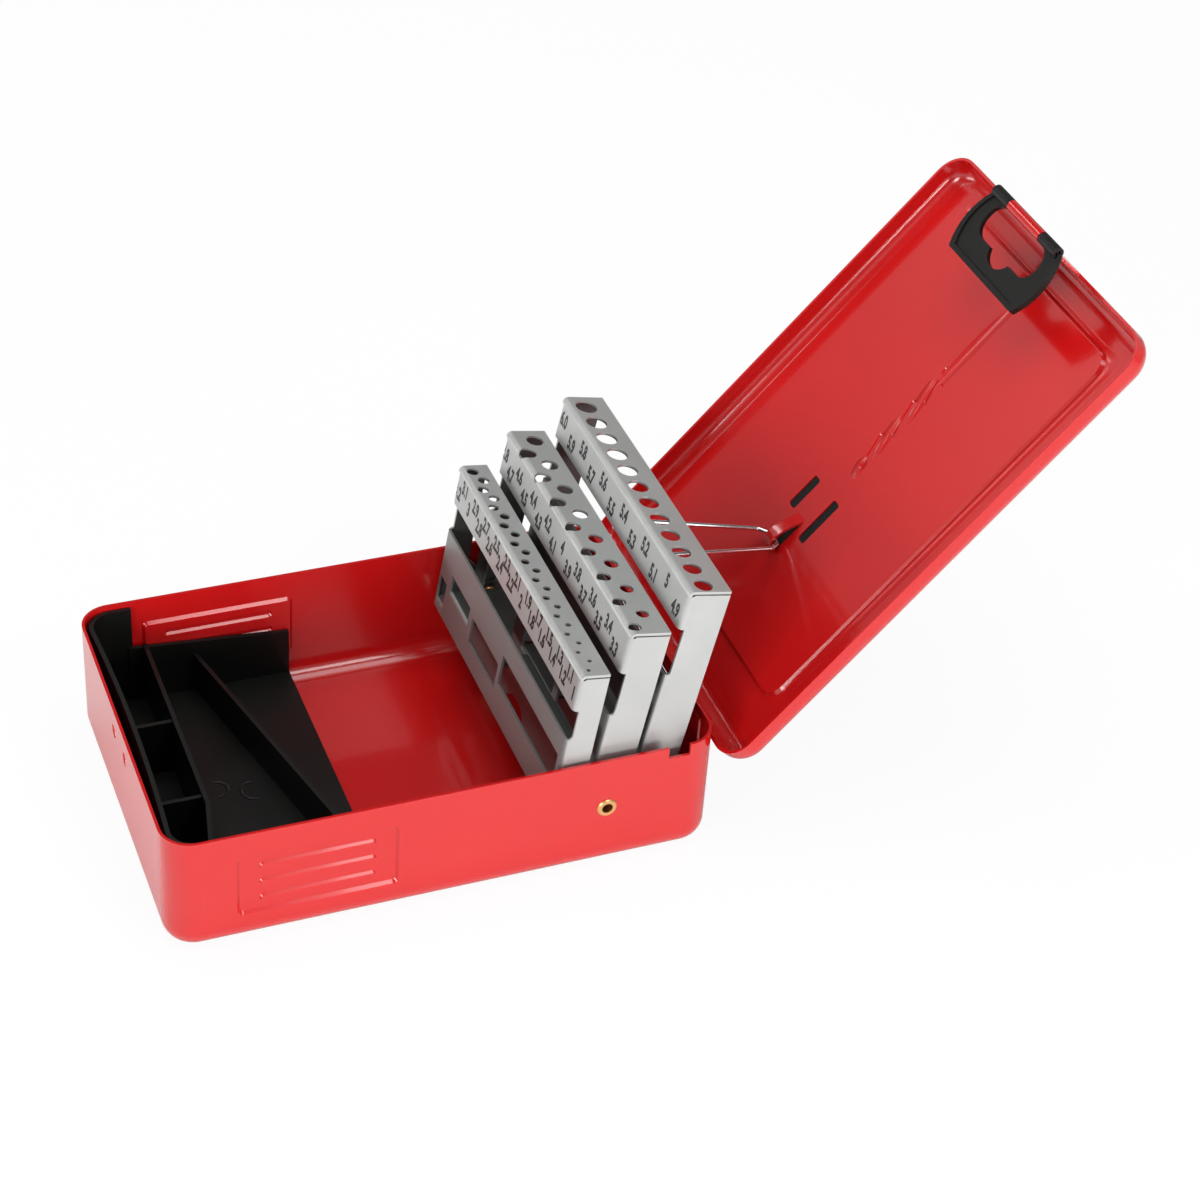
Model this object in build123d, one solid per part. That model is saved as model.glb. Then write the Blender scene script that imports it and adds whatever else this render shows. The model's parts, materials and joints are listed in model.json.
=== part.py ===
from build123d import *
import os
from math import atan2, cos, degrees, hypot, radians, sin, sqrt

# Folding metal case for 51 twist drills, 1.0 to 6.0 mm in steps of 0.1 mm, shown open.
# Millimetres. +Z is up, the front is at -Y, the hinge at +Y, and X runs across the case.
# The origin is the centre of the underside.

# Bottom half, drawn from one sheet
steel = 0.8
base_width = 101.3
base_length = 149.0
base_height = 36.6
base_corner = 8.5
base_edge = 6.0

# Pressed panel with three ribs in each side wall
panel_from_front = 17.8
panel_length = 42.8
panel_low = 9.6
panel_height = 19.4
panel_depth = 0.8
rib_length = 31.0
rib_width = 2.2
rib_rise = 0.6
rib_pitch = 5.4

# Notches in the side rims
notch_from_rear = 8.8
notch_length = 6.0
notch_depth = 3.4

# Catch dimples in the front wall and the bumps that snap into them
dimple_spread = 11.8
dimple_drop = 7.0
dimple_radius = 2.0
dimple_depth = 1.0
bump_play = 0.2

# Lid hinge
pin_radius = 0.95
pin_play = 0.05
hinge_standoff = 1.0
hinge_drop = 4.93
hinge_span = 74.6
lid_knuckle_span = 47.2
knuckle_play = 0.4
tongue_inset = 1.0
tongue_length = 6.7
lid_open_tilt = 47.2

# Lid
lid_side_gap = 1.95
lid_front_gap = 1.45
lid_overlap = 2.9
lid_depth = 7.6
lid_corner = 8.5
lid_edge = 4.9
field_side_margin = 11.8
field_front_margin = 9.4
field_rear_margin = 16.8
field_rise = 0.9
field_corner = 6.0

# Outline of a twist drill pressed into the field: shank and three turns of flute
mark_across = 1.7
mark_width = 4.2
mark_depth = 0.4
shank_start = 105.0
shank_end = 137.0
flute_start = 73.0
flute_pitch = 12.5
flute_length = 12.0
flute_width = 2.2
flute_slant = 18.0

# Slots and strap in the lid's raised field, distances from the hinge axis
slot_spread = 12.4
slot_width = 3.3
slot_end = 62.7
far_slot_length = 10.8
near_slot_length = 14.6
strap_width = 3.8
strap_length = 11.7
strap_rise = 3.0
strap_behind_bar = 2.1
cap_width = 21.0
cap_length = 23.0
cap_thickness = 0.8
cap_reach = 0.4

# Apron and latch on the lid's front edge
apron_width = 34.0
apron_shoulder = 7.0
apron_slope = 2.0
barrel_width = 17.2
barrel_height = 10.8
latch_standoff = 0.6
latch_pin_radius = 0.8
latch_width = 34.4
latch_free_width = 35.2
latch_bulge = 3.2
latch_length = 19.5
latch_thickness = 1.8
latch_rim = 1.5
latch_rim_height = 0.5
latch_tilt = 4.8
latch_play = 0.3
window_width = 28.6
window_end = 11.8
window_corner = 4.6
thumb_notch_radius = 5.6
thumb_notch_depth = 3.4

# Pivot of the racks
pivot_from_rear = 31.4
pivot_height = 20.6
eyelet_bore = 1.5
eyelet_wall = 0.4
eyelet_lip = 2.75
lip_thickness = 0.5
eyelet_play = 0.05

# Racks: plated sheet, three boxes open at the back that nest between the side walls
zinc = 0.8
rack_side_gap = 1.35
rack_nest_gap = 0.25
bend_radius = 1.6
seam = 0.4
lobe_radius = 4.0
window_bite = 1.7
hole_play = 0.16
drill_step = 0.1

small_lean = 8.4
small_front = -15.3
small_depth = 8.1
small_top = 42.8
small_label = 11.5
small_window = 9.3
small_bottom = 3.5
small_first_drill = 3.2
small_holes = 23
small_row_front = 2.8
small_row_pitch = 1.7
small_margin_start = 3.2
small_margin_end = 2.4
# Shelves for the drill tips: X limits, level, height of the cut, share of the depth, bend, folded up
small_shelves = (
    ((-46.9, -41.3), 0.3, 6.9, 1.0, 3.0, True),
    ((-38.6, -23.1), 7.0, 5.2, 0.7, 1.2, True),
    ((-20.3, 1.1), 10.0, 7.1, 1.0, 1.2, False),
    ((3.0, 45.9), 14.5, 8.6, 1.0, 1.2, False),
)

medium_lean = 10.3
medium_front = -5.4
medium_depth = 11.2
medium_top = 54.4
medium_label = 12.8
medium_window = 13.3
medium_bottom = 14.0
medium_first_drill = 4.8
medium_holes = 16
medium_row_front = 2.2
medium_row_pitch = 4.25
medium_margin_start = 5.05
medium_margin_end = 3.05
medium_shelves = (
    ((-40.0, -15.0), 5.7, 11.0, 0.85, 1.2, True),
    ((-8.0, 15.5), 10.0, 8.0, 0.6, 1.2, True),
    ((18.5, 44.0), 20.0, 9.5, 0.85, 1.2, False),
)
finger_cut_across = -2.5
finger_cut_radius = 9.0

large_lean = 11.5
large_front = 7.1
large_depth = 11.8
large_top = 66.4
large_label = 12.0
large_window = 14.4
large_bottom = 14.0
large_first_drill = 6.0
large_holes = 12
large_row_front = 4.9
large_margin_start = 5.1
large_margin_end = 3.0
large_shelves = (
    ((-39.0, -3.0), 4.0, 12.0, 0.85, 1.2, True),
    ((3.0, 41.0), 8.0, 10.0, 0.85, 1.2, True),
)

# Wire link between the lid's strap and the largest rack
wire_radius = 0.6
link_from_hinge = 43.0
link_height = 1.7
link_bar = 5.0
link_waist = 9.8
link_waist_back = 3.0
link_spread = 16.6
link_back = 16.5
link_up = 51.0
ear_radius = 1.6
rail_height = 7.0
rail_back = 13.6

# Moulded insert in the front of the case
tray_wall = 1.2
tray_play = 0.3
tray_front_gap = 1.2
tray_bow = 1.4
tray_corner = 7.0
tray_top = 35.2
tray_wrap = 12.7
tray_length = 57.0
tray_floor = 4.0
tray_side_high = 22.3
tray_side_low = 18.4
divider_from_front = 18.2
divider_top = 22.3
divider_sweep = 5.6
cross_rib_spread = 31.8
cross_rib_top = 21.0
slant_rib_far = 42.6
slant_rib_near = 19.4
slant_rib_top = 16.5

half_width = base_width / 2
half_length = base_length / 2
hinge_y = half_length + hinge_standoff
hinge_z = base_height - hinge_drop
knuckle_bore = pin_radius + pin_play
knuckle_radius = knuckle_bore + steel
pivot_y = half_length - pivot_from_rear
eyelet_radius = eyelet_bore + eyelet_wall

# Lid frame: origin on the hinge axis, Y' towards the lid's front edge, Z' out of its open side
lid_frame = Pos(0, hinge_y, hinge_z) * Rot(lid_open_tilt, 0, 0)
lid_half = half_width + lid_side_gap + steel
lid_rim = -(base_height - lid_overlap - hinge_z)
lid_back = -knuckle_radius
lid_front = hinge_y + half_length + lid_front_gap + steel
lid_outer = lid_rim - lid_depth
field_face = lid_outer + steel + field_rise
barrel_bore = latch_pin_radius + pin_play
barrel_radius = barrel_bore + steel
barrel_y = hinge_y + half_length + barrel_radius + latch_standoff
barrel_z = lid_rim + barrel_height
latch_frame = lid_frame * Pos(0, barrel_y, barrel_z) * Rot(latch_tilt, 0, 0)


def block(x, y, z):
    """Box between pairs of limits."""
    middle = Pos(sum(x) / 2, sum(y) / 2, sum(z) / 2)
    return middle * Box(x[1] - x[0], y[1] - y[0], z[1] - z[0])


def rod(x, y, z, radius):
    """Cylinder along X between two limits."""
    return Pos(sum(x) / 2, y, z) * Rot(0, 90, 0) * Cylinder(radius, x[1] - x[0])


def ring(x, y, z, outer, inner):
    return rod(x, y, z, outer) - rod(x, y, z, inner)


def bend(x, y, z, radius, thickness, toward_y, toward_z):
    """Quarter of a bent sheet whose axis runs along X through (y, z)."""
    quadrant = block(x, sorted((y, y + toward_y * radius)), sorted((z, z + toward_z * radius)))
    return ring(x, y, z, radius, radius - thickness) & quadrant


def dish(width, length, height, corner, edge):
    """Solid with rounded upright corners and a rounded bottom edge, standing on z = 0."""
    solid = Pos(0, 0, height / 2) * Box(width, length, height)
    solid = fillet(solid.edges().filter_by(Axis.Z), corner)
    return fillet(solid.faces().sort_by(Axis.Z)[0].edges(), edge)


def pan(width, length, height, corner, edge):
    """Drawn sheet pan, open at the top."""
    inside = dish(width - 2 * steel, length - 2 * steel, height, corner - steel, edge - steel)
    return dish(width, length, height, corner, edge) - Pos(0, 0, steel) * inside


def pressing(plane, sketch, depth):
    """Solid of a shallow pressing with sides at 45 degrees."""
    return extrude(plane * sketch, amount=depth, taper=45)


def side_panel(shell, side):
    """Recessed panel with three ribs that stand out of it again."""
    y = panel_from_front + panel_length / 2 - half_length
    z = panel_low + panel_height / 2
    outer = Plane((side * half_width, y, z), x_dir=(0, 1, 0), z_dir=(-side, 0, 0))
    inner = outer.offset(steel)
    sketch = RectangleRounded(panel_length, panel_height, 2 * panel_depth)
    shell = shell + pressing(inner, sketch, panel_depth) - pressing(outer, sketch, panel_depth)
    for row in (-1, 0, 1):
        up = side * row * rib_pitch
        rib = Pos(0, up) * SlotOverall(rib_length, rib_width)
        floor = Plane(outer.offset(panel_depth).origin, x_dir=(0, 1, 0), z_dir=(side, 0, 0))
        back = floor.offset(-steel)
        crest = Pos(0, -up) * SlotOverall(rib_length, rib_width)
        shell = shell + pressing(floor, crest, rib_rise) - pressing(back, crest, rib_rise)
    return shell


def dimples(side_y, into, z, radius, depth, thickness):
    """Pair of round dents: what they press out of the far face, and the hollow in the near one."""
    ball = (radius ** 2 + depth ** 2) / (2 * depth)
    centre = side_y - into * (ball - depth)
    places = [Pos(side * dimple_spread / 2, centre, z) for side in (-1, 1)]
    far_side = sorted((side_y + into * thickness / 2, side_y + into * (depth + 2 * thickness)))
    keep = block((-dimple_spread, dimple_spread), far_side, (z - 2 * ball, z + 2 * ball))
    raised = [place * Sphere(ball + thickness) & keep for place in places]
    hollow = [place * Sphere(ball) for place in places]
    return raised, hollow


def base_hinge(shell):
    """Windows in the rear wall, and the two tongues that curl round the pin."""
    wall = (half_length - 2 * steel, half_length + steel)
    head = hinge_z + knuckle_radius + knuckle_play
    half_gap = lid_knuckle_span / 2 + knuckle_play
    shell -= block((-half_gap, half_gap), wall, (hinge_z - knuckle_radius - knuckle_play, head))
    for side in (-1, 1):
        ends = sorted((side * half_gap, side * (hinge_span / 2 + knuckle_play + tongue_inset)))
        shell -= block(ends, wall, (hinge_z - tongue_length, head))
        ends = sorted((side * (half_gap + tongue_inset), side * hinge_span / 2))
        shell += block(ends, (half_length - steel, half_length), (hinge_z - tongue_length, hinge_z))
        shell += ring(ends, hinge_y, hinge_z, knuckle_radius, knuckle_bore)
        shell -= rod(ends, hinge_y, hinge_z, knuckle_bore)
    return shell


def base_shell():
    shell = pan(base_width, base_length, base_height, base_corner, base_edge)
    for side in (-1, 1):
        shell = side_panel(shell, side)
    raised, hollow = dimples(-half_length, 1, base_height - dimple_drop, dimple_radius, dimple_depth, steel)
    for dent in raised:
        shell += dent
    for dent in hollow:
        shell -= dent
    notch_end = half_length - notch_from_rear
    across = (-base_width, base_width)
    shell -= block(across, (notch_end - notch_length, notch_end), (base_height - notch_depth, 2 * base_height))
    shell -= rod(across, pivot_y, pivot_height, eyelet_radius)
    return base_hinge(shell)


def hinge_pin():
    return rod((-hinge_span / 2 - tongue_inset / 2, hinge_span / 2 + tongue_inset / 2), hinge_y, hinge_z, pin_radius)


def raised_field(shell):
    """Shallow field pressed up inside the lid, with the same dip outside."""
    near = lid_back + field_rear_margin
    far = lid_front - field_front_margin
    sketch = RectangleRounded(2 * (lid_half - field_side_margin), far - near, field_corner)
    middle = (far + near) / 2
    outside = Plane((0, middle, lid_outer))
    inside = outside.offset(steel)
    return shell + pressing(inside, sketch, field_rise) - pressing(outside, sketch, field_rise)


def drill_mark(shell):
    """Shallow picture of a twist drill, pressed outwards through the field."""
    shank = Pos(mark_across, -(shank_start + shank_end) / 2) * Rectangle(mark_width, shank_end - shank_start)
    sketches = [shank]
    for turn in range(3):
        place = Pos(mark_across, -(flute_start + turn * flute_pitch + flute_length / 2))
        sketches.append(place * Rot(0, 0, 90 - flute_slant) * SlotOverall(flute_length, flute_width))
    inside = Plane((0, 0, field_face), x_dir=(1, 0, 0), z_dir=(0, 0, -1))
    outside = inside.offset(steel)
    for sketch in sketches:
        shell = shell + pressing(outside, sketch, mark_depth) - pressing(inside, sketch, mark_depth)
    return shell


def slot_solid(side, length, low, high):
    """Slot through the lid's field, beside the strap."""
    y = slot_end - length / 2
    sketch = Pos(side * slot_spread / 2, y) * RectangleRounded(slot_width, length, slot_width / 4)
    return extrude(Plane((0, 0, low)) * sketch, amount=high - low)


def strap_profile(length, rise, spread):
    """Side view below the strap, or below its upper face: steep at the hinge end, then falling slowly."""
    start = (-spread, -steel)
    end = (length + 1.5 * spread, -steel)
    crest = Bezier(start, (0.2 - spread, 1.6 * (rise + spread)), (0.43 * length, 1.05 * rise + 1.3 * spread), end)
    return make_face(Curve() + [crest, Line(end, start)])


def strap(shell):
    """Strap lanced out of the field along the lid, which holds the link's cross bar."""
    heel = link_from_hinge - strap_behind_bar
    side = strap_width / 2
    view = Plane((-side, heel, field_face), x_dir=(0, 1, 0), z_dir=(1, 0, 0))
    over = extrude(view * strap_profile(strap_length, strap_rise, steel), amount=strap_width)
    under = extrude(view * strap_profile(strap_length, strap_rise, 0), amount=strap_width)
    return shell + over - under


def apron(shell):
    """Tab below the lid's front wall that ends in the rolled barrel of the latch."""
    sheet = (lid_front - steel, lid_front)
    face = Plane((0, lid_front, 0), x_dir=(1, 0, 0), z_dir=(0, -1, 0))
    neck = barrel_width / 2
    wide = apron_width / 2
    shoulder = lid_rim + apron_shoulder
    outline = [(-wide, lid_rim - steel), (-wide, lid_rim), (apron_slope - wide, shoulder), (-neck, shoulder),
               (-neck, barrel_z - barrel_bore), (neck, barrel_z - barrel_bore), (neck, shoulder),
               (wide - apron_slope, shoulder), (wide, lid_rim), (wide, lid_rim - steel), (-wide, lid_rim - steel)]
    shell += extrude(face * make_face(Polyline(outline)), amount=steel)
    shell += ring((-neck, neck), barrel_y, barrel_z, barrel_radius, barrel_bore)
    shell -= rod((-neck, neck), barrel_y, barrel_z, barrel_bore)
    bump_z = lid_rim + base_height - lid_overlap - (base_height - dimple_drop)
    reach = lid_front_gap + dimple_depth - 2 * bump_play
    raised, hollow = dimples(sheet[1], -1, bump_z, dimple_radius - bump_play + steel / 2, reach, steel / 4)
    for bump in raised:
        shell += bump
    return shell


def lid_knuckle(shell):
    """Long tongue of the lid's rear wall, curled round the pin."""
    ends = (-lid_knuckle_span / 2, lid_knuckle_span / 2)
    shell += block(ends, (lid_back, lid_back + steel), (lid_rim - steel, 0))
    shell += ring(ends, 0, 0, knuckle_radius, knuckle_bore)
    return shell - rod(ends, 0, 0, knuckle_bore)


def lid_shell():
    length = lid_front - lid_back
    shell = Pos(0, (lid_front + lid_back) / 2, lid_outer) * pan(
        2 * lid_half, length, lid_depth, lid_corner, lid_edge)
    shell = drill_mark(raised_field(shell))
    shell -= slot_solid(-1, far_slot_length, lid_outer - steel, field_face + steel)
    shell -= slot_solid(1, near_slot_length, lid_outer - steel, field_face + steel)
    shell = strap(shell)
    shell = apron(shell)
    return lid_frame * lid_knuckle(shell)


def slot_cap():
    """Flat plastic piece in the dip outside the lid, with a tongue up into each slot."""
    y = slot_end + tray_wall - cap_length / 2
    sketch = Pos(0, y) * RectangleRounded(cap_width, cap_length, 2)
    face = field_face - steel
    cap = extrude(Plane((0, 0, face - cap_thickness)) * sketch, amount=cap_thickness)
    for side, length in ((-1, far_slot_length), (1, near_slot_length)):
        tongue = slot_solid(side, length, face - cap_thickness / 2, field_face - cap_reach)
        cap += tongue & block((-cap_width, cap_width), (0, 2 * slot_end), (face - steel, field_face))
    return lid_frame * cap


def latch_outline(inset):
    """Plate of the latch: straight free edge, sides that bulge."""
    wide = latch_width / 2 - inset
    free = latch_free_width / 2 - inset
    low = inset - latch_length
    right = ThreePointArc((free, low), (wide + latch_bulge, -0.45 * latch_length), (wide, 0))
    left = ThreePointArc((-wide, 0), (-wide - latch_bulge, -0.45 * latch_length), (-free, low))
    return make_face(Curve() + [right, Line((wide, 0), (-wide, 0)), left, Line((-free, low), (free, low))])


def latch_window():
    """Rounded opening below the barrel, with a round notch for the thumb."""
    middle = (window_end + barrel_radius) / 2
    pane = Pos(0, -middle) * RectangleRounded(window_width, window_end - barrel_radius, window_corner)
    pane += Pos(0, thumb_notch_radius - thumb_notch_depth - window_end) * Circle(thumb_notch_radius)
    return extrude(Plane((0, 0, -2 * latch_thickness)) * pane, amount=4 * latch_thickness)


def latch():
    plate = extrude(Plane((0, 0, -latch_thickness)) * latch_outline(0), amount=latch_thickness)
    floor = Plane((0, 0, -latch_rim_height))
    plate -= extrude(floor * latch_outline(latch_rim), amount=latch_thickness)
    plate -= latch_window()
    gap = barrel_width / 2 + latch_play
    for side in (-1, 1):
        ends = sorted((side * gap, side * latch_width / 2))
        plate += rod(ends, 0, 0, barrel_radius)
        plate -= rod(ends, 0, 0, barrel_bore)
    across = (-2 * latch_thickness, 2 * latch_thickness)
    plate -= block((-gap, gap), (-window_end / 2, barrel_radius + latch_play), across)
    return latch_frame * plate


def latch_pin():
    return lid_frame * rod((-latch_width / 2 + steel, latch_width / 2 - steel), barrel_y, barrel_z, latch_pin_radius)


# Racks are drawn with the pivot at the origin, Y' to the rear and Z' up, and then leaned back.

def rack_half(place):
    """Half width of the first, second or third rack from the side walls."""
    return half_width - steel - rack_side_gap - place * (zinc + rack_nest_gap)


def rack_sheet(half, front, depth, top, label, window, bottom):
    """Front plate, end plates and top plate, with the wide window below the label."""
    back = front + depth
    flat = (bend_radius - half, half - bend_radius)
    inner = front + bend_radius
    sheet = block(flat, (front, front + zinc), (-bottom, top - bend_radius))
    sheet += block((-half, half), (inner, back), (top - zinc, top))
    sheet += bend((-half, half), inner, top - bend_radius, bend_radius, zinc, -1, 1)
    corner = Plane((0, 0, -bottom))
    for side in (-1, 1):
        ends = sorted((side * (half - zinc), side * half))
        sheet += block(ends, (inner, back), (-bottom, top - zinc - seam))
        quarter = Circle(bend_radius) - Circle(bend_radius - zinc)
        quarter &= Pos(side * bend_radius / 2, -bend_radius / 2) * Rectangle(bend_radius, bend_radius)
        quarter = Pos(side * (half - bend_radius), inner) * quarter
        sheet += extrude(corner * quarter, amount=bottom + top - bend_radius)
    low = top - label - window
    opening = block((-2 * half, 2 * half), (front - zinc, front + window_bite), (low, low + window))
    opening = fillet(opening.edges().filter_by(Axis.X).sort_by(Axis.Z)[:2].sort_by(Axis.Y)[1:], window_bite / 2)
    return sheet - opening


def pivot_lobes(sheet, half, reach):
    """End plates carried to the pivot, which is outside the rack, and its holes."""
    for side in (-1, 1):
        ends = sorted((side * (half - zinc), side * half))
        sheet += rod(ends, 0, 0, lobe_radius)
        if reach:
            sheet += block(ends, sorted((reach, 0)), (-lobe_radius, lobe_radius))
            view = Plane((ends[0], 0, 0), x_dir=(0, 1, 0), z_dir=(1, 0, 0))
            gusset = [(reach, lobe_radius), (0, lobe_radius), (reach, lobe_radius + abs(reach)), (reach, lobe_radius)]
            sheet += extrude(view * make_face(Polyline(gusset)), amount=zinc)
    return sheet - rod((-2 * half, 2 * half), 0, 0, eyelet_radius + eyelet_play)


def shelf(sheet, x, front, level, rise, reach, radius, from_below):
    """Window in the front plate whose metal is folded in as a shelf for the drill tips."""
    side = 1 if from_below else -1
    stem = level - side * radius
    opening = sorted((stem, level + side * rise))
    sheet -= block(x, (front - zinc, front + 2 * zinc), opening)
    sheet += bend(x, front + radius, stem, radius, zinc, -1, side)
    flat = sorted((level, level - side * zinc))
    return sheet + block(x, (front + radius, front + reach), flat)


def shelves(sheet, front, depth, table):
    for x, level, rise, share, radius, from_below in table:
        sheet = shelf(sheet, x, front, level, rise, share * (depth - zinc), radius, from_below)
    return sheet


def drill_holes(sheet, half, top, count, first, rows, start, end):
    """Holes from far to near, each 0.1 mm smaller and a little closer than the one before."""
    taper = 0.01 * first
    gaps = count - 1
    pitch = (2 * half - start - end + taper * gaps * (gaps - 1) / 2) / gaps
    x = start - half
    for index in range(count):
        drill = first - index * drill_step
        place = Pos(x, rows[index % len(rows)], top - zinc / 2)
        sheet -= place * Cylinder((drill + hole_play) / 2, 3 * zinc)
        x += pitch - index * taper
    return sheet


def lean(sheet, angle):
    return Pos(0, pivot_y, pivot_height) * Rot(-angle, 0, 0) * sheet


def rack_small():
    half = rack_half(0)
    front = small_front
    sheet = rack_sheet(half, front, small_depth, small_top, small_label, small_window, small_bottom)
    sheet = pivot_lobes(sheet, half, front + small_depth)
    sheet = shelves(sheet, front, small_depth, small_shelves)
    rows = (front + small_row_front, front + small_row_front + small_row_pitch)
    sheet = drill_holes(sheet, half, small_top, small_holes, small_first_drill, rows,
                        small_margin_start, small_margin_end)
    return lean(sheet, small_lean)


def rack_medium():
    half = rack_half(1)
    front = medium_front
    sheet = rack_sheet(half, front, medium_depth, medium_top, medium_label, medium_window, medium_bottom)
    sheet = pivot_lobes(sheet, half, 0)
    sheet = shelves(sheet, front, medium_depth, medium_shelves)
    finger_cut = Rot(90, 0, 0) * Cylinder(finger_cut_radius, 4 * zinc)
    sheet -= Pos(finger_cut_across, front, -medium_bottom) * finger_cut
    rows = (front + medium_row_front + medium_row_pitch, front + medium_row_front)
    sheet = drill_holes(sheet, half, medium_top, medium_holes, medium_first_drill, rows,
                        medium_margin_start, medium_margin_end)
    return lean(sheet, medium_lean)


def link_rail(sheet, half):
    """Rail across the back of the largest rack, with two ears for the wire link."""
    low = link_up - rail_height / 2
    sheet += block((-half + zinc / 2, half - zinc / 2), (rail_back, rail_back + zinc), (low, low + rail_height))
    for side in (-1, 1):
        inner = link_spread / 2 + wire_radius + latch_play
        ends = sorted((side * inner, side * (inner + zinc)))
        sheet += block(ends, (rail_back, link_back), (link_up - ear_radius, link_up + ear_radius))
        sheet += rod(ends, link_back, link_up, ear_radius)
        sheet -= rod(ends, link_back, link_up, wire_radius + pin_play)
    return sheet


def rack_large():
    half = rack_half(2)
    front = large_front
    sheet = rack_sheet(half, front, large_depth, large_top, large_label, large_window, large_bottom)
    sheet = pivot_lobes(sheet, half, front + bend_radius)
    sheet = shelves(sheet, front, large_depth, large_shelves)
    sheet = link_rail(sheet, half)
    rows = (front + large_row_front,)
    sheet = drill_holes(sheet, half, large_top, large_holes, large_first_drill, rows,
                        large_margin_start, large_margin_end)
    return lean(sheet, large_lean)


def pivot_eyelets():
    """Hollow brass rivets through a side wall and the three end plates inside it."""
    inner = rack_half(2) - zinc - rack_nest_gap
    pair = []
    for side in (-1, 1):
        barrel = rod(sorted((side * inner, side * half_width)), 0, 0, eyelet_radius)
        for x in (half_width, inner - lip_thickness):
            lip = rod(sorted((side * x, side * (x + lip_thickness))), 0, 0, eyelet_lip)
            rim = lip.edges().filter_by(GeomType.CIRCLE).sort_by(Axis.X)
            outward = rim[-1] if side * (x - inner) > 0 else rim[0]
            barrel += chamfer(outward, 0.6 * lip_thickness)
        barrel -= rod((-2 * half_width, 2 * half_width), 0, 0, eyelet_bore)
        pair.append(Pos(0, pivot_y, pivot_height) * barrel)
    return Compound(children=pair)


def link_wire():
    """Bent wire: cross bar under the lid's strap, two legs back to the largest rack."""
    bar = lid_frame * Pos(0, link_from_hinge, field_face + link_height)
    ear = Pos(0, pivot_y, pivot_height) * Rot(-large_lean, 0, 0) * Pos(0, link_back, link_up)
    start, end = bar.position, ear.position
    length = hypot(end.Y - start.Y, end.Z - start.Z)
    turn = degrees(atan2(end.Z - start.Z, end.Y - start.Y))
    bar_half = link_bar / 2
    leg = link_spread / 2
    waist = link_waist / 2
    points = [(-leg, length), (-waist, link_waist_back), (-bar_half, 0),
              (bar_half, 0), (waist, link_waist_back), (leg, length)]
    path = FilletPolyline(*points, radius=2.5 * wire_radius)
    section = Plane(path @ 0, z_dir=path % 0) * Circle(wire_radius)
    wire = sweep(section, path)
    return Pos(0, start.Y, start.Z) * Rot(turn, 0, 0) * wire


# Insert: thin walls on a floor, clear of the case's rounded corners and pressed panels

def tray_plan(inset):
    """Plan of the insert: square back, rounded front corners, front wall bowed inwards."""
    side = half_width - steel - tray_play - inset
    front = steel + tray_front_gap - half_length + inset
    back = front - inset + tray_length
    radius = tray_corner - inset
    corner_x = side - radius
    corner_y = front + radius
    tip = radius * (1 - sqrt(0.5))
    right = ThreePointArc((side, corner_y), (side - tip, front + tip), (corner_x, front))
    bow = ThreePointArc((corner_x, front), (0, front + tray_bow), (-corner_x, front))
    left = ThreePointArc((-corner_x, front), (tip - side, front + tip), (-side, corner_y))
    edges = [right, bow, left, Line((-side, corner_y), (-side, back)),
             Line((-side, back), (side, back)), Line((side, back), (side, corner_y))]
    return make_face(Curve() + edges)


def upright(start, end, low, high):
    """Thin wall between two points of the plan, with rounded ends."""
    run = hypot(end[0] - start[0], end[1] - start[1])
    angle = degrees(atan2(end[1] - start[1], end[0] - start[0]))
    middle = Pos((start[0] + end[0]) / 2, (start[1] + end[1]) / 2, (low + high) / 2)
    wall = middle * Rot(0, 0, angle) * Box(run, tray_wall, high - low)
    for point in (start, end):
        wall += Pos(point[0], point[1], (low + high) / 2) * Cylinder(tray_wall / 2, high - low)
    return wall


def tray_sides(side_x, front, back):
    """Side walls whose tops slope down to the rear."""
    profile = [(front, tray_play), (front, tray_side_high), (back, tray_side_low), (back, tray_play), (front, tray_play)]
    walls = []
    for x in (-side_x, side_x - tray_wall):
        view = Plane((x, 0, 0), x_dir=(0, 1, 0), z_dir=(1, 0, 0))
        walls.append(extrude(view * make_face(Polyline(profile)), amount=tray_wall))
    return walls


def insert_tray():
    front = steel + tray_front_gap - half_length
    back = front + tray_length
    wrap_end = front + tray_wrap
    side_x = half_width - steel - panel_depth - tray_play
    ring_wall = tray_plan(0) - tray_plan(tray_wall)
    tray = extrude(ring_wall, amount=tray_top)
    tray -= block((-base_width, base_width), (wrap_end, base_length), (-base_height, 2 * base_height))
    tray += extrude(Plane((0, 0, tray_floor - tray_wall)) * tray_plan(0), amount=tray_wall)
    for wall in tray_sides(side_x, wrap_end - tray_wall, back):
        tray += wall
    inner = side_x - tray_wall / 2
    divider_y = divider_from_front - half_length
    knee = (0.42 * inner, divider_y)
    tray += upright((-inner, divider_y), knee, tray_floor - tray_wall, divider_top)
    tray += upright(knee, (inner, divider_y - divider_sweep), tray_floor - tray_wall, divider_top)
    for side in (-1, 1):
        x = side * cross_rib_spread / 2
        tray += upright((x, front + tray_wall), (x, divider_y), tray_floor - tray_wall, cross_rib_top)
    tray += upright((-inner, -slant_rib_far), (inner, -slant_rib_near), tray_floor - tray_wall, slant_rib_top)
    room = dish(base_width - 2 * (steel + tray_play), base_length - 2 * (steel + tray_play), 2 * base_height,
                base_corner - steel - tray_play, base_edge - steel - tray_play)
    tray &= Pos(0, 0, steel + tray_play) * room
    for side in (-1, 1):
        x = sorted((side * side_x, side * base_width))
        tray -= block(x, (wrap_end, base_length), (0, base_height))
    return tray


pieces = {
    "base_shell": base_shell,
    "hinge_pin": hinge_pin,
    "pivot_eyelets": pivot_eyelets,
    "insert_tray": insert_tray,
    "lid_shell": lid_shell,
    "slot_cap": slot_cap,
    "latch_pin": latch_pin,
    "latch": latch,
    "rack_small": rack_small,
    "rack_medium": rack_medium,
    "rack_large": rack_large,
    "link_wire": link_wire,
}

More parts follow.
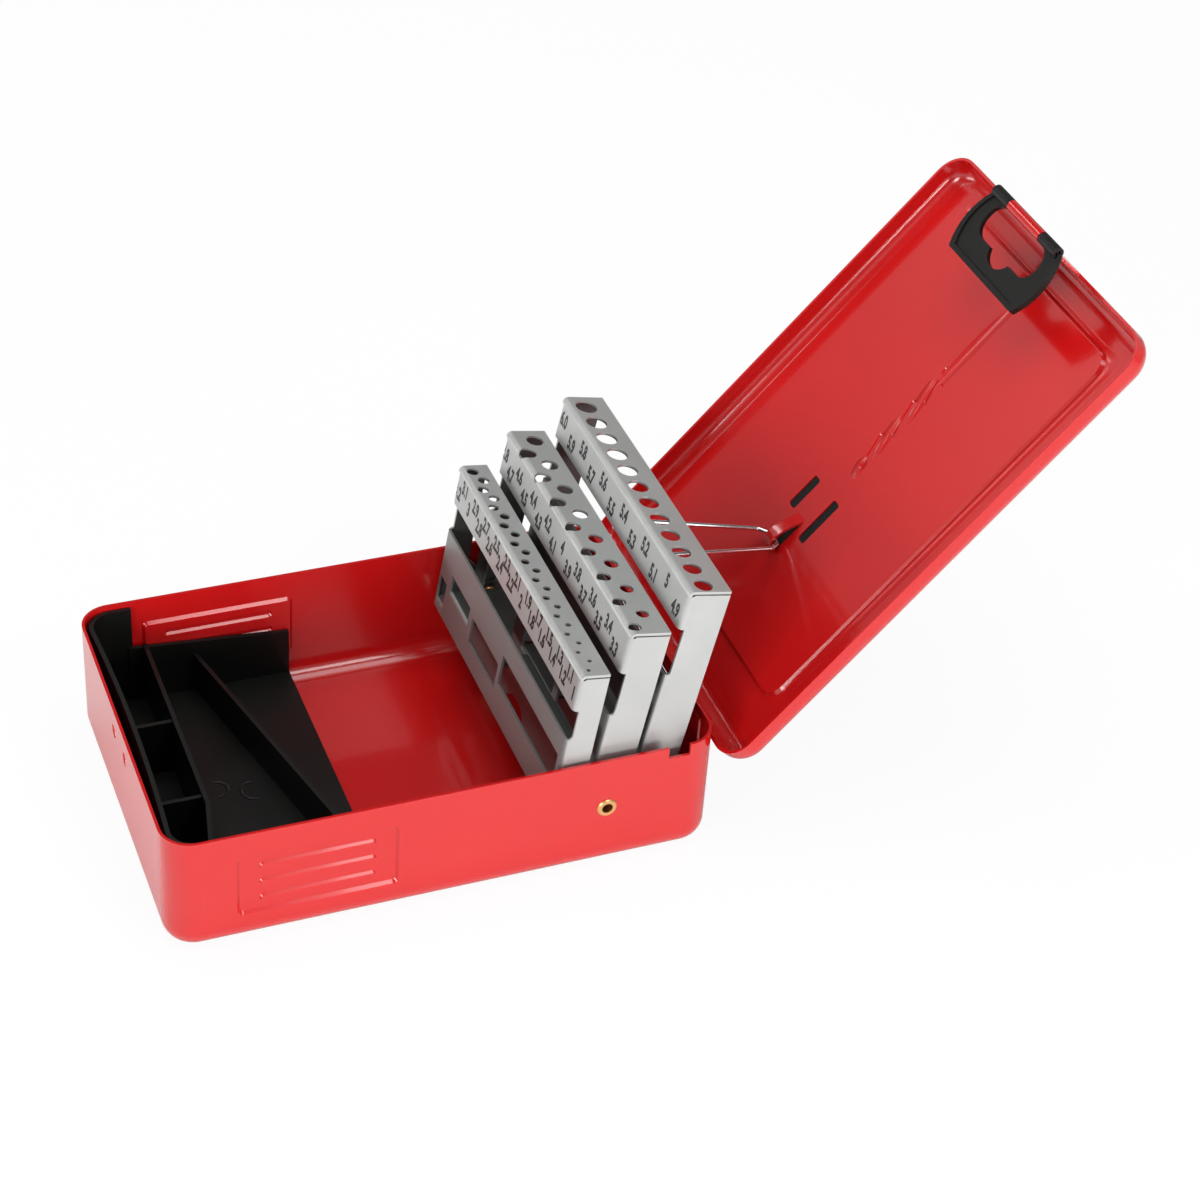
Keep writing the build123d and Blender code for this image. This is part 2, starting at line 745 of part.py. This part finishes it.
os.makedirs("parts", exist_ok=True)
for name, make in pieces.items():
    solid = make()
    export_step(solid, f"parts/{name}.step")
    print(name, len(solid.solids()), round(solid.volume, 1))
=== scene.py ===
import json
from math import cos, radians, sin

import bmesh
import bpy
from mathutils import Matrix, Vector


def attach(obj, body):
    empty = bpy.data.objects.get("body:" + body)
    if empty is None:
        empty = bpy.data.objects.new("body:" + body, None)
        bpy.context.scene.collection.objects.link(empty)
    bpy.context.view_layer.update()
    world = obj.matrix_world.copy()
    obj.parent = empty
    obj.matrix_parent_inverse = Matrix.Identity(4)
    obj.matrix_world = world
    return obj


mm = 0.001
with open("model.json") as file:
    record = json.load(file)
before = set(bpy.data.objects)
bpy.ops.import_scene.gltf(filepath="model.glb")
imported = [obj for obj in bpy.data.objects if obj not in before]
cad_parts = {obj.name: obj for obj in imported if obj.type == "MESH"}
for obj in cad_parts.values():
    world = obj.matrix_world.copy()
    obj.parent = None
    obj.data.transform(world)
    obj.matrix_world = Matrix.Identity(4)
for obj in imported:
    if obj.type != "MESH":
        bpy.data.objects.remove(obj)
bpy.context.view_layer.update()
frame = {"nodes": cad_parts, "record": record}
print("frame loaded:", len(frame["nodes"]), "nodes")


# A shader socket that can be used in sums, so a pattern reads as an expression
class Socket:
    def __init__(self, tree, output):
        self.tree = tree
        self.output = output

    def math(self, operation, *others, swap=False):
        values = [self, *others]
        if swap:
            values.reverse()
        return self.tree.node("ShaderNodeMath", {"operation": operation}, dict(enumerate(values)))

    def __add__(self, other):
        return self.math("ADD", other)

    def __radd__(self, other):
        return self.math("ADD", other, swap=True)

    def __sub__(self, other):
        return self.math("SUBTRACT", other)

    def __rsub__(self, other):
        return self.math("SUBTRACT", other, swap=True)

    def __mul__(self, other):
        return self.math("MULTIPLY", other)

    def __rmul__(self, other):
        return self.math("MULTIPLY", other, swap=True)


# The nodes of one material, or of the world
class Shader:
    def __init__(self, owner):
        owner.use_nodes = True
        self.owner = owner
        self.nodes = owner.node_tree.nodes
        self.links = owner.node_tree.links
        self.nodes.clear()

    def node(self, kind, settings=None, values=None, output=0):
        made = self.nodes.new(kind)
        for key, value in (settings or {}).items():
            if key == "stops":
                self.spread(made.color_ramp, value)
            else:
                setattr(made, key, value)
        for key, value in (values or {}).items():
            if isinstance(value, Socket):
                self.links.new(value.output, made.inputs[key])
            elif made.inputs[key].type == "RGBA":
                made.inputs[key].default_value = (*value, 1)
            else:
                made.inputs[key].default_value = value
        return Socket(self, made.outputs[output]) if made.outputs else None

    # Grey stops along a ramp, lowest place first
    def spread(self, ramp, stops):
        while len(ramp.elements) < len(stops):
            ramp.elements.new(0.5)
        for element, (place, grey) in zip(ramp.elements, stops):
            element.position = place
            element.color = (grey, grey, grey, 1)

    def coords(self):
        return self.node("ShaderNodeTexCoord", output="Object")

    def noise(self, scale, detail=2.0, roughness=0.5):
        values = {"Vector": self.coords(), "Scale": scale, "Detail": detail, "Roughness": roughness}
        return self.node("ShaderNodeTexNoise", {}, values)

    def mix(self, factor, first, second):
        values = {"Factor": factor, "A": first, "B": second}
        return self.node("ShaderNodeMix", {"data_type": "RGBA"}, values, "Result")

    # 0 at the first limit and 1 at the second, whichever is the higher
    def smooth(self, value, low, high):
        values = {"Value": value, "From Min": low, "From Max": high}
        return self.node("ShaderNodeMapRange", {"interpolation_type": "SMOOTHSTEP"}, values)

    # The piece's own axes in millimetres, moved and turned to suit a pattern
    def axes(self, location=(0, 0, 0), rotation=(0, 0, 0)):
        values = {"Vector": self.coords(), "Location": location, "Rotation": rotation}
        turned = self.node("ShaderNodeMapping", {}, values)
        parts = [self.node("ShaderNodeSeparateXYZ", {}, {"Vector": turned}, axis) for axis in "XYZ"]
        return [part * (1 / mm) for part in parts]

    # A rounded hump, 1 in its middle and 0 outside its oval
    def dome(self, first, second, centre, half, lean=0.0):
        right = first - centre[0]
        ahead = second - centre[1]
        across = (right * cos(lean) + ahead * sin(lean)) * (1 / half[0])
        along = (ahead * cos(lean) - right * sin(lean)) * (1 / half[1])
        return (1 - across * across - along * along).math("MAXIMUM", 0.0)

    # A thin circle, 1 on its line and 0 beyond half its width
    def ring(self, first, second, centre, radius, half):
        right = first - centre[0]
        ahead = second - centre[1]
        reach = (right * right + ahead * ahead).math("SQRT") - radius
        return self.smooth(reach.math("ABSOLUTE"), half, 0.0)

    def bump(self, height, strength, distance, under=None):
        values = {"Height": height, "Strength": strength, "Distance": distance}
        if under:
            values["Normal"] = under
        return self.node("ShaderNodeBump", {}, values)

    # A pressed or moulded mark, whose height is in millimetres
    def mark(self, height, under):
        return self.bump(height, 1.0, mm, under)

    def principled(self, **values):
        renamed = {key.replace("_", " "): value for key, value in values.items()}
        surface = self.node("ShaderNodeBsdfPrincipled", {}, renamed)
        self.node("ShaderNodeOutputMaterial", {}, {"Surface": surface})
        return self.owner


def newShader(name):
    return Shader(bpy.data.materials.new(name))


# Glossy red enamel on drawn sheet, slightly cloudy, with a faint orange peel. Here and below, a peel, cloud
# or grain is a noise's scale, or its scale, detail and roughness
enamel = {"red": (0.49, 0.006, 0.0065), "shade": (0.45, 0.005, 0.0055), "cloud": 38.0, "roughness": 0.17,
          "coat": 0.4, "coatRoughness": 0.05,
          "peel": (260.0, 1.0), "peelStrength": 0.05, "peelHigh": 0.2 * mm}


def redEnamel(name, relief=None):
    shader = newShader(name)
    colour = shader.mix(shader.noise(enamel["cloud"]), enamel["shade"], enamel["red"])
    normal = shader.bump(shader.noise(*enamel["peel"]), enamel["peelStrength"], enamel["peelHigh"])
    if relief:
        normal = shader.mark(relief(shader), normal)
    return shader.principled(Base_Color=colour, Roughness=enamel["roughness"], Coat_Weight=enamel["coat"],
                             Coat_Roughness=enamel["coatRoughness"], Normal=normal)


# Pressed marks in the lid's field, which sharpen those of its mesh. They are in millimetres along the lid's
# own axes: across, away from the hinge and inwards. A flute adds its half length, and its lean in degrees.
# A ridge is endless along its length until its fades end it
lidMarks = {"tilt": 47.2, "shift": (0, -74.531, 33.877), "middle": -8.3,
            "shank": (1.7, 119.0), "shankHalf": (2.3, 16.0), "shankHigh": 0.50,
            "flutes": ((1.5, 98.0, 7.4, 20.0), (1.9, 84.5, 6.6, 18.0), (2.5, 73.5, 3.6, 20.0)),
            "fluteHalf": 1.9, "fluteHigh": 0.80,
            "frontRidge": (0.0, 143.0), "sideRidge": (42.6, 78.0), "ridgeHalf": 1.3, "ridgeHigh": 0.30,
            "endless": 400.0, "sideFade": (43.0, 34.0), "rearFade": (14.0, 28.0),
            "frontFade": (143.0, 132.0)}


def lidRelief(shader):
    shift = Vector(lidMarks["shift"]) * mm
    across, away, inwards = shader.axes(tuple(shift), (-radians(lidMarks["tilt"]), 0, 0))
    height = lidMarks["shankHigh"] * shader.dome(across, away, lidMarks["shank"], lidMarks["shankHalf"])
    for x, reach, half, lean in lidMarks["flutes"]:
        flute = shader.dome(across, away, (x, reach), (lidMarks["fluteHalf"], half), radians(lean))
        height = height + lidMarks["fluteHigh"] * flute
    front = shader.dome(across, away, lidMarks["frontRidge"], (lidMarks["endless"], lidMarks["ridgeHalf"]))
    front = front * shader.smooth(across.math("ABSOLUTE"), *lidMarks["sideFade"])
    side = shader.dome(across, away, lidMarks["sideRidge"], (lidMarks["ridgeHalf"], lidMarks["endless"]))
    side = side * shader.smooth(away, *lidMarks["rearFade"]) * shader.smooth(away, *lidMarks["frontFade"])
    height = height + lidMarks["ridgeHigh"] * (front + side)
    facing = 2.0 * inwards.math("GREATER_THAN", lidMarks["middle"]) - 1.0  # 1 inside the lid, -1 outside
    return height * facing


# The eyelets' axis: across, to the rear and up
pivot = Vector((0, 43.1, 20.6)) * mm

# Each rack as it stands before it leans back about the eyelets, in millimetres and degrees: its folded
# sheet, the painted shade low on its front, and the two staggered rows of drill sizes, the largest at the
# far end
racks = {
    "rack_small": {"lean": 8.4, "front": -15.3, "top": 42.8, "half": 48.5, "shade": 0.55,
                   "first": 3.2, "count": 23, "upper": 4.0, "lower": 7.3, "highFirst": False,
                   "start": -46.1, "pitch": 4.53, "shrink": 0.032},
    "rack_medium": {"lean": 10.3, "front": -5.4, "top": 54.4, "half": 47.45, "shade": 0.75,
                    "first": 4.8, "count": 16, "upper": 6.1, "lower": 9.35, "highFirst": True,
                    "start": -45.1, "pitch": 5.72, "shrink": 0.0},
    "rack_large": {"lean": 11.5, "front": 7.1, "top": 66.4, "half": 46.4, "shade": 0.75,
                   "first": 6.0, "count": 12, "upper": 5.4, "lower": 8.5, "highFirst": True,
                   "start": -42.5, "pitch": 7.66, "shrink": 0.0},
}


def rackMatrix(lean):
    return Matrix.Translation(pivot) @ Matrix.Rotation(-radians(lean), 4, "X")


# Zinc-plated sheet, satin and slightly cloudy, with painted shade within the racks and low on their fronts
zinc = {"light": (0.485, 0.492, 0.483), "dark": (0.41, 0.418, 0.409), "paintedShade": (0.115, 0.119, 0.115),
        "metallic": 0.70, "roughness": 0.42, "unevenness": 0.12, "cloud": (60.0, 4.0, 0.6),
        "grain": 900.0, "grainStrength": 0.04, "grainHigh": 0.05 * mm,
        "skin": (0.50, 0.75), "label": 12.5, "fade": 7.0}


# Mask of painted shade: 1 on the racks' inner faces, and on their fronts below the labels as strong as each
# rack's shade
def paintedRackShade(shader, rack):
    back = rackMatrix(rack["lean"]).inverted()
    across, behind, up = shader.axes(tuple(back.translation), (radians(rack["lean"]), 0, 0))
    low, high = zinc["skin"]
    within = shader.smooth(behind, rack["front"] + low, rack["front"] + high)
    within = within * shader.smooth(across.math("ABSOLUTE"), rack["half"] - low, rack["half"] - high)
    within = within * shader.smooth(up, rack["top"] - low, rack["top"] - high)
    label = rack["top"] - zinc["label"]
    front = shader.smooth(behind, rack["front"] + high, rack["front"] + low)
    shade = front * shader.smooth(up, label, label - zinc["fade"]) * rack["shade"]
    return within.math("MAXIMUM", shade)


def zincPlate(name, rack):
    shader = newShader(name)
    cloud = shader.noise(*zinc["cloud"])
    plate = shader.mix(cloud, zinc["dark"], zinc["light"])
    # Painted shade: the plate's colour is darkened within the racks and low on their fronts
    colour = shader.mix(paintedRackShade(shader, rack), plate, zinc["paintedShade"])
    rough = zinc["roughness"] + zinc["unevenness"] * cloud
    normal = shader.bump(shader.noise(zinc["grain"]), zinc["grainStrength"], zinc["grainHigh"])
    return shader.principled(Base_Color=colour, Metallic=zinc["metallic"], Roughness=rough, Normal=normal)


# Black moulded plastic with a fine spark-eroded texture
plastic = {"grain": (1800.0, 3.0, 0.6), "grainHigh": 0.05 * mm, "specular": 0.26,
           "insert": {"colour": (0.0035, 0.0033, 0.0029), "roughness": 0.42, "strength": 0.10},
           "latch": {"colour": (0.0050, 0.0045, 0.0040), "roughness": 0.46, "strength": 0.16}}


def blackPlastic(name, colour, roughness, strength, relief=None):
    shader = newShader(name)
    normal = shader.bump(shader.noise(*plastic["grain"]), strength, plastic["grainHigh"])
    if relief:
        normal = shader.mark(relief(shader), normal)
    return shader.principled(Base_Color=colour, Roughness=roughness, Specular_IOR_Level=plastic["specular"],
                             Normal=normal)


# Half rings that ejector pins left in the insert's floor, in millimetres: across, to the rear, radius, and
# 1 for the rear half or -1 for the front half
ejectors = {"marks": ((-4.0, -48.0, 3.0, 1), (-1.0, -38.5, 3.5, -1)),
            "half": 0.55, "deep": 0.12, "fade": 1.5}


def insertRelief(shader):
    across, behind = shader.axes()[:2]
    depth = 0.0
    for x, y, radius, side in ejectors["marks"]:
        shown = shader.smooth(behind, y - side * ejectors["fade"], y + side * ejectors["fade"])
        depth = depth + shown * shader.ring(across, behind, (x, y), radius, ejectors["half"])
    return depth * -ejectors["deep"]


def plainMetal(name, colour, roughness):
    return newShader(name).principled(Base_Color=colour, Metallic=1.0, Roughness=roughness)


# Finishes by material slot, and those that belong to one node
finishes = {
    "insert_plastic": blackPlastic("insertPlastic", relief=insertRelief, **plastic["insert"]),
    "latch_plastic": blackPlastic("latchPlastic", **plastic["latch"]),
    "brass": plainMetal("brass", colour=(0.72, 0.43, 0.18), roughness=0.34),
    "pin_steel": plainMetal("pinSteel", colour=(0.50, 0.50, 0.50), roughness=0.3),
    "wire_steel": plainMetal("wireSteel", colour=(0.68, 0.68, 0.69), roughness=0.18),
}
special = {name: zincPlate(name + "Zinc", rack) for name, rack in racks.items()}
special["lid_shell"] = redEnamel("lidEnamel", lidRelief)
special["base_shell"] = redEnamel("baseEnamel")
special["latch_pin"] = plainMetal("darkPin", colour=(0.03, 0.03, 0.03), roughness=0.5)
slots = {entry["node"]: entry["material_slot"] for entry in frame["record"]["subparts"]}
for nodeName, nodeObject in frame["nodes"].items():
    nodeObject.data.materials.clear()
    nodeObject.data.materials.append(special.get(nodeName) or finishes[slots[nodeName]])
print("finishes set")


# Drill sizes printed on the racks' front faces, in millimetres. The font's figures fill a share of its
# height, and bold widens their strokes in the font's own units
figures = {"height": 4.0, "fontShare": 0.70, "condense": 0.625, "bold": 0.046, "curveSteps": 4,
           "proud": 0.03, "bend": 1.6, "sizeStep": 0.1}
ink = newShader("numberInk").principled(Base_Color=(0.012, 0.012, 0.013), Roughness=0.45)


def flatText(words):
    curve = bpy.data.curves.new("figure", "FONT")
    curve.body = words
    curve.align_x = "CENTER"
    curve.align_y = "CENTER"
    curve.offset = figures["bold"]
    curve.resolution_u = figures["curveSteps"]
    figure = bpy.data.objects.new("figure", curve)
    bpy.context.scene.collection.objects.link(figure)
    bpy.context.view_layer.update()
    mesh = bpy.data.meshes.new_from_object(figure.evaluated_get(bpy.context.evaluated_depsgraph_get()))
    bpy.data.objects.remove(figure)
    bpy.data.curves.remove(curve)
    return mesh


# Bends what reaches past the flat front round the rack's folded corners
def wrapCorners(mesh, flat):
    radius = (figures["bend"] + figures["proud"]) * mm
    for vertex in mesh.vertices:
        over = abs(vertex.co.x) - flat
        if over > 0:
            turn = over / radius
            side = 1 if vertex.co.x > 0 else -1
            vertex.co.x = side * (flat + radius * sin(turn))
            vertex.co.y += radius * (1 - cos(turn))


def printedNumbers(rack, setting):
    scale = figures["height"] / figures["fontShare"] * mm
    narrow = Matrix.Diagonal((scale * figures["condense"], scale, 1, 1))
    upright = Matrix.Rotation(radians(90), 4, "X") @ narrow
    rows = bmesh.new()
    place = setting["start"]
    for index in range(setting["count"]):
        size = setting["first"] - figures["sizeStep"] * index
        words = f"{size:.1f}"
        if words.endswith(".0") and index:  # only the largest rack's first number keeps its nought
            words = words[0]
        mesh = flatText(words)
        high = (index % 2 == 0) == setting["highFirst"]
        drop = setting["upper"] if high else setting["lower"]
        centre = Vector((place, setting["front"] - figures["proud"], setting["top"] - drop)) * mm
        mesh.transform(Matrix.Translation(centre) @ upright)
        wrapCorners(mesh, (setting["half"] - figures["bend"]) * mm)
        mesh.transform(rackMatrix(setting["lean"]))
        rows.from_mesh(mesh)
        bpy.data.meshes.remove(mesh)
        place += setting["pitch"] - setting["shrink"] * index
    printed = bpy.data.meshes.new(rack + "_numbers")
    rows.to_mesh(printed)
    rows.free()
    printed.materials.append(ink)
    piece = bpy.data.objects.new(rack + "_numbers", printed)
    bpy.context.scene.collection.objects.link(piece)
    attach(piece, rack)


for rack, setting in racks.items():
    printedNumbers(rack, setting)
print("numbers printed")


# Floor, white surroundings and lamps, in metres. The veil is how far the floor turns plain white to the
# camera. The surround's greys, from level to straight up, light the case and show in its reflections,
# and the camera itself sees plain white
studio = {"floorRadius": 3.0, "floorSides": 96, "floorDrop": 0.2 * mm, "floorWhite": 0.86, "veil": 0.93,
          "surround": ((0.0, 0.50), (0.27, 0.10), (0.33, 0.30), (0.41, 0.66), (0.48, 0.74), (0.56, 0.12),
                       (0.80, 0.12))}
white = (1.0, 1.0, 1.0)


def paleFloor():
    shader = newShader("paleFloor")
    camera = shader.node("ShaderNodeLightPath", output="Is Camera Ray")
    paint = shader.node("ShaderNodeBsdfDiffuse", {}, {"Color": (studio["floorWhite"],) * 3})
    glow = shader.node("ShaderNodeEmission", {}, {"Color": white, "Strength": 1.0})
    both = shader.node("ShaderNodeMixShader", {}, {0: camera * studio["veil"], 1: paint, 2: glow})
    shader.node("ShaderNodeOutputMaterial", {}, {"Surface": both})
    disc = bmesh.new()
    bmesh.ops.create_circle(disc, cap_ends=True, segments=studio["floorSides"], radius=studio["floorRadius"])
    mesh = bpy.data.meshes.new("floor")
    disc.to_mesh(mesh)
    disc.free()
    mesh.transform(Matrix.Translation((0, 0, -studio["floorDrop"])))
    mesh.materials.append(shader.owner)
    floor = bpy.data.objects.new("floor", mesh)
    bpy.context.scene.collection.objects.link(floor)


def whiteSurround():
    world = bpy.data.worlds.new("surround")
    bpy.context.scene.world = world
    shader = Shader(world)
    around = shader.node("ShaderNodeTexCoord", output="Generated")
    height = shader.node("ShaderNodeSeparateXYZ", {}, {"Vector": around}, "Z")
    greys = shader.node("ShaderNodeValToRGB", {"stops": studio["surround"]}, {"Fac": height})
    camera = shader.node("ShaderNodeLightPath", output="Is Camera Ray")
    glow = {"Color": shader.mix(camera, greys, white), "Strength": 1.0}
    backdrop = shader.node("ShaderNodeBackground", {}, glow)
    shader.node("ShaderNodeOutputWorld", {}, {"Surface": backdrop})


lamps = {
    "key": {"at": (0.80, 0.40, 0.95), "aim": (0, 0, 0.05), "size": (0.4, 0.4), "watts": 3.5},
    "overhead": {"at": (0.0, 0.0, 1.2), "aim": (0, 0, 0), "size": (0.9, 0.9), "watts": 9.0},
    "right": {"at": (1.25, 0.40, 0.16), "aim": (0, 0, 0.03), "size": (0.9, 0.3), "watts": 13.0},
    "front": {"at": (0.80, -0.95, 0.42), "aim": (0, 0, 0.05), "size": (0.5, 0.4), "watts": 8.0},
    "left": {"at": (-0.55, -1.15, 0.12), "aim": (0, 0, 0.05), "size": (0.9, 0.3), "watts": 5.8},
    "stripRear": {"at": (-0.88, -0.30, 0.78), "aim": (0, 0.12, 0.1), "size": (0.35, 0.10), "watts": 0.8},
    "stripFront": {"at": (-0.61, -0.70, 0.70), "aim": (0, 0.12, 0.1), "size": (0.35, 0.10), "watts": 0.5},
}


def hangLamps():
    for name, setting in lamps.items():
        light = bpy.data.lights.new(name, "AREA")
        light.shape = "RECTANGLE"
        light.size, light.size_y = setting["size"]
        light.energy = setting["watts"]
        lamp = bpy.data.objects.new(name, light)
        lamp.location = setting["at"]
        away = Vector(setting["at"]) - Vector(setting["aim"])
        lamp.rotation_euler = away.to_track_quat("Z", "Y").to_euler()
        bpy.context.scene.collection.objects.link(lamp)


paleFloor()
whiteSurround()
hangLamps()
print("studio lit")


# The photograph's camera: angles in degrees, place, focal length and film in millimetres, and what it sees
# from near to far in metres
view = {"azimuth": -23.369, "elevation": 37.307, "roll": 4.255, "at": (557.22, -182.13, 511.11),
        "focal": 84.2886, "film": 36.0, "near": 0.01, "far": 20}


def setCamera():
    turn = radians(view["azimuth"])
    rise = radians(view["elevation"])
    lens = bpy.data.cameras.new("camera")
    lens.lens = view["focal"]
    lens.sensor_fit = "HORIZONTAL"
    lens.sensor_width = view["film"]
    lens.clip_start = view["near"]
    lens.clip_end = view["far"]
    camera = bpy.data.objects.new("camera", lens)
    back = Vector((cos(turn) * cos(rise), sin(turn) * cos(rise), sin(rise)))
    level = back.to_track_quat("Z", "Y").to_matrix().to_4x4()
    roll = Matrix.Rotation(radians(view["roll"]), 4, "Z")
    camera.matrix_world = Matrix.Translation(Vector(view["at"]) * mm) @ level @ roll
    bpy.context.scene.collection.objects.link(camera)
    bpy.context.scene.camera = camera


setCamera()
bpy.context.scene.view_settings.view_transform = "Standard"
print("camera set")
